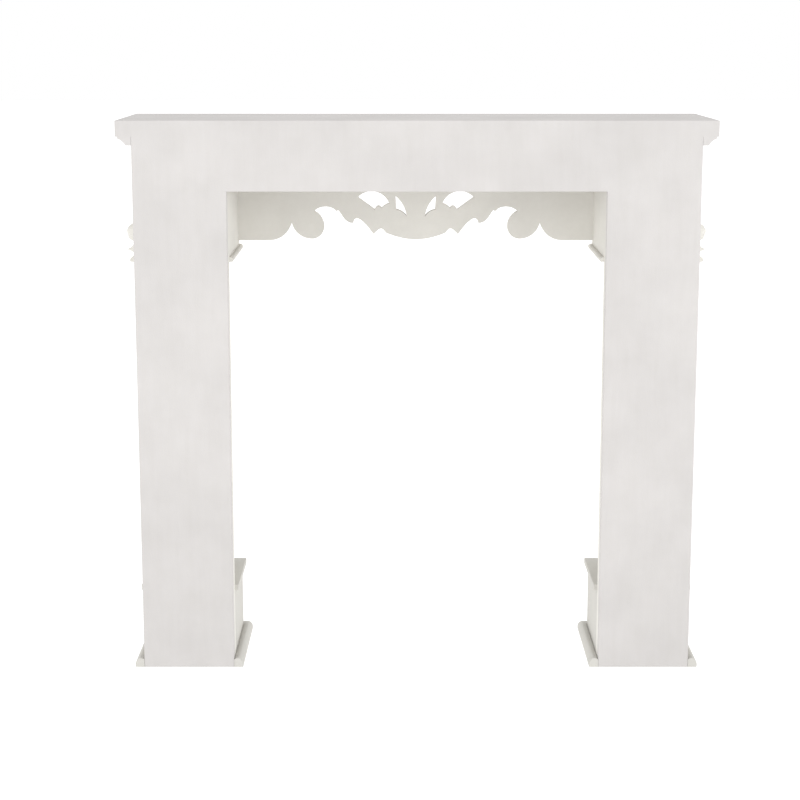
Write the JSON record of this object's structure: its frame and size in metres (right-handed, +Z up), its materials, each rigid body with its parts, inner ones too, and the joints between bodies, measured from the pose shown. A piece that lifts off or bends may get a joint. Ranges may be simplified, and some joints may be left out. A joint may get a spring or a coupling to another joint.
{
  "type": "miniature fireplace mantel",
  "caption": "Painted wooden fireplace surround at dolls' house scale, with a moulded shelf, a scroll-cut frieze over the hearth opening, console legs and moulded plinths.",
  "frame": {"origin": "centre of the shelf's rectangle in plan, on the floor that the plinths stand on", "axes": "+X to the right of someone facing the decorative front, +Y towards the flat back, +Z up"},
  "size_m": [0.11, 0.0296, 0.1039],
  "materials": {
    "panel_paint": "chalky off-white paint",
    "board_paint": "chalky off-white paint",
    "moulding_paint": "chalky off-white paint",
    "plinth_paint": "chalky off-white paint, a little greyer",
    "console_paint": "chalky off-white paint",
    "carving_paint": "chalky off-white paint"
  },
  "bodies": {
    "root": {"back_panel": "panel_paint", "base_front_left": "plinth_paint", "base_front_right": "plinth_paint", "base_inner_left": "plinth_paint", "base_inner_right": "plinth_paint", "base_outer_left": "plinth_paint", "base_outer_right": "plinth_paint", "block_return_left": "board_paint", "block_return_right": "board_paint", "block_rosette_left": "carving_paint", "block_rosette_right": "carving_paint", "block_side_left": "board_paint", "block_side_right": "board_paint", "capital_plate_left": "board_paint", "capital_plate_right": "board_paint", "console_cap_left": "console_paint", "console_cap_right": "console_paint", "console_leaf_left": "carving_paint", "console_leaf_right": "carving_paint", "console_left": "console_paint", "console_right": "console_paint", "crown_front": "moulding_paint", "crown_left": "moulding_paint", "crown_right": "moulding_paint", "frieze_board": "board_paint", "frieze_scroll_left": "carving_paint", "frieze_scroll_right": "carving_paint", "frieze_shell": "carving_paint", "leg_board_left": "board_paint", "leg_board_right": "board_paint", "plinth_cap_left": "plinth_paint", "plinth_cap_right": "plinth_paint", "plinth_front_left": "plinth_paint", "plinth_front_right": "plinth_paint", "plinth_inner_left": "plinth_paint", "plinth_inner_right": "plinth_paint", "plinth_outer_left": "plinth_paint", "plinth_outer_right": "plinth_paint", "plinth_panel_left": "carving_paint", "plinth_panel_right": "carving_paint", "shelf_board": "panel_paint", "side_ornament_left": "carving_paint", "side_ornament_right": "carving_paint", "volute_eyes_left": "carving_paint", "volute_eyes_right": "carving_paint"}
  },
  "joints": []
}
